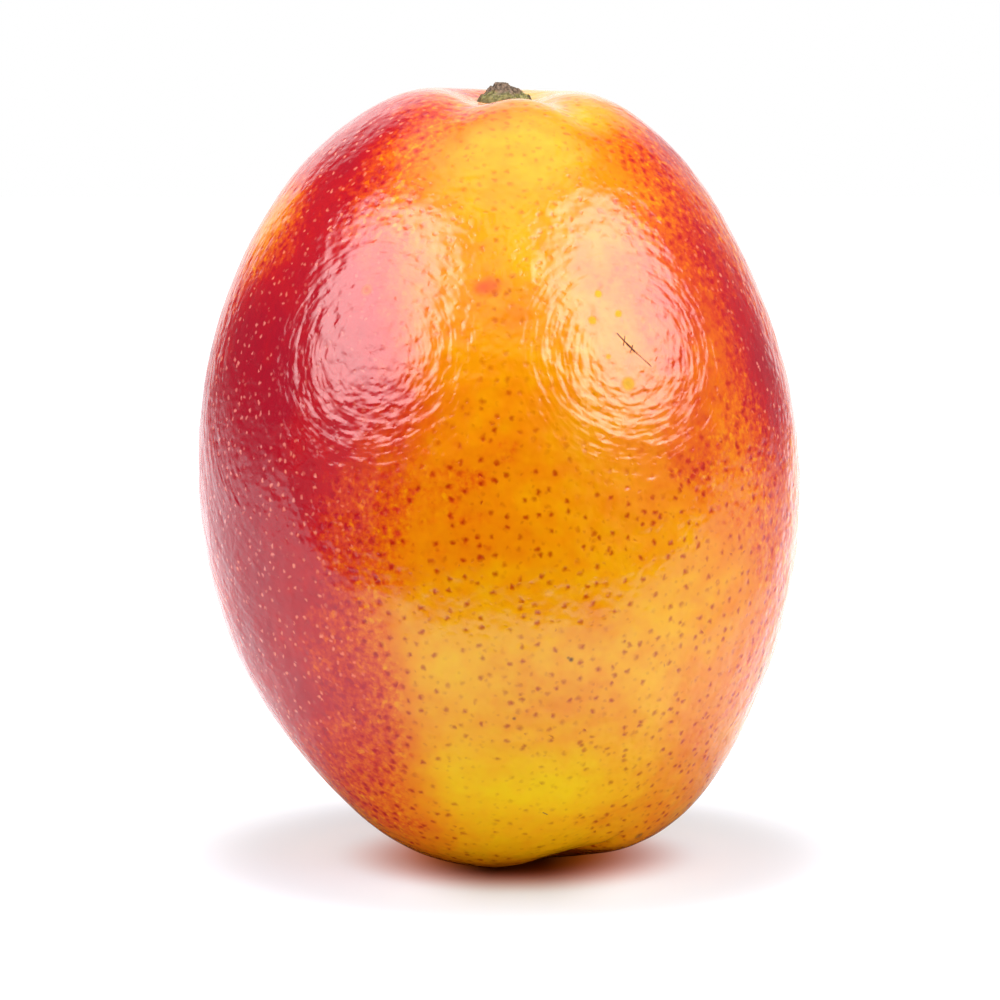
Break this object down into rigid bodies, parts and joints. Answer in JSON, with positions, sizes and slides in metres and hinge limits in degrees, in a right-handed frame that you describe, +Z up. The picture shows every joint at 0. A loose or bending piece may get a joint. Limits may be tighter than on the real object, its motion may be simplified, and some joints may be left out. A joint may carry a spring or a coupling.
{
  "type": "mango",
  "caption": "Whole ripe mango with a red and yellow speckled skin and a dry stalk stub, standing upright on a small flat spot at its tip.",
  "frame": {"origin": "on the resting surface, below the middle of the fruit, at the centre of the bottom of its box", "axes": "+Z up from the tip to the stem end, -Y towards the front, +X towards the beak side"},
  "size_m": [0.0926, 0.0846, 0.1198],
  "materials": {
    "mango_skin": "satin, waxy, orange-peel texture",
    "dry_stem": "rough, dry"
  },
  "bodies": {
    "root": {"fruit": "mango_skin", "stem": "dry_stem"}
  },
  "joints": []
}
